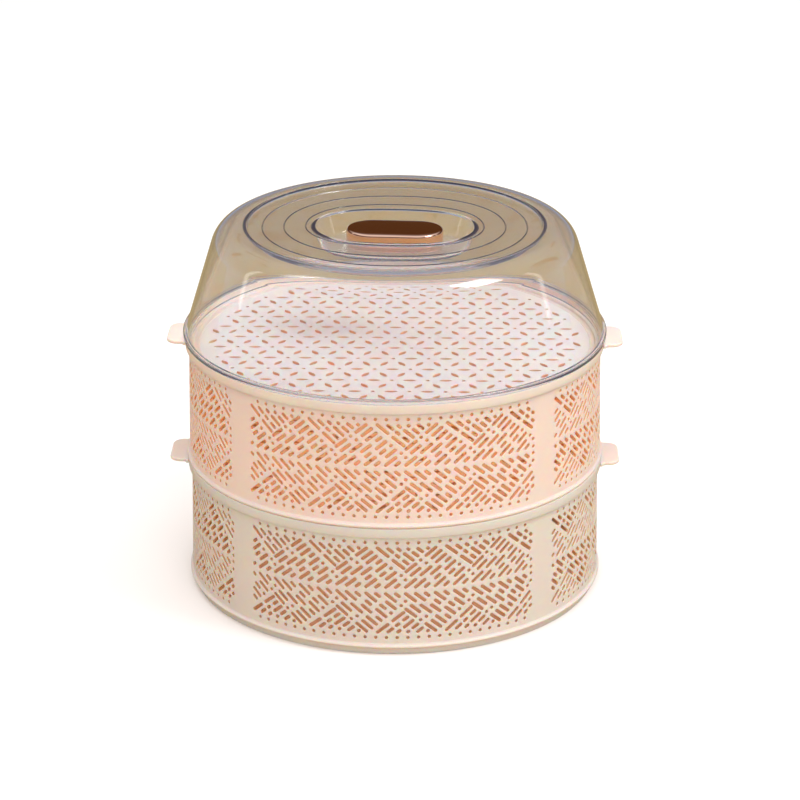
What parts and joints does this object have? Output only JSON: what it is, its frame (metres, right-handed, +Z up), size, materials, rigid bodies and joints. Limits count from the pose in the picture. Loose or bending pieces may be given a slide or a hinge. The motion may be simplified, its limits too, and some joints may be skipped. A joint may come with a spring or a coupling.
{
  "type": "stackable ventilated food cover",
  "caption": "Round stackable food cover: vented wall rings with slotted shelf trays and ear tabs, under a clear domed lid with a plated grip sunk in its top.",
  "frame": {"origin": "centre of the foot, on the surface that the cover stands on", "axes": "+Z up, +X through one ear tab, the grip runs along X"},
  "size_m": [0.3556, 0.3308, 0.291],
  "materials": {
    "tier_plastic": "satin moulded polypropylene, warm blush",
    "clear_plastic": "clear polished, faint champagne tint",
    "plated_copper": "mirror rose-copper electroplate on plastic",
    "screw_steel": "plain zinc"
  },
  "bodies": {
    "lower_ring": {"lower_ring": "tier_plastic"},
    "lower_tray": {"lower_tray": "tier_plastic"},
    "upper_ring": {"upper_ring": "tier_plastic"},
    "upper_tray": {"upper_tray": "tier_plastic"},
    "lid": {"lid_dome": "clear_plastic", "grip_base": "plated_copper", "grip_cap": "plated_copper", "grip_screws": "screw_steel"}
  },
  "joints": [
    {"name": "lower_tray_lift", "type": "slide", "parent": "lower_ring", "child": "lower_tray", "axis": [0, 0, 1], "range_m": [0, 0.06]},
    {"name": "upper_ring_lift", "type": "slide", "parent": "lower_tray", "child": "upper_ring", "axis": [0, 0, 1], "range_m": [0, 0.06]},
    {"name": "upper_tray_lift", "type": "slide", "parent": "upper_ring", "child": "upper_tray", "axis": [0, 0, 1], "range_m": [0, 0.06]},
    {"name": "lid_lift", "type": "slide", "parent": "upper_tray", "child": "lid", "axis": [0, 0, 1], "range_m": [0, 0.12]}
  ]
}
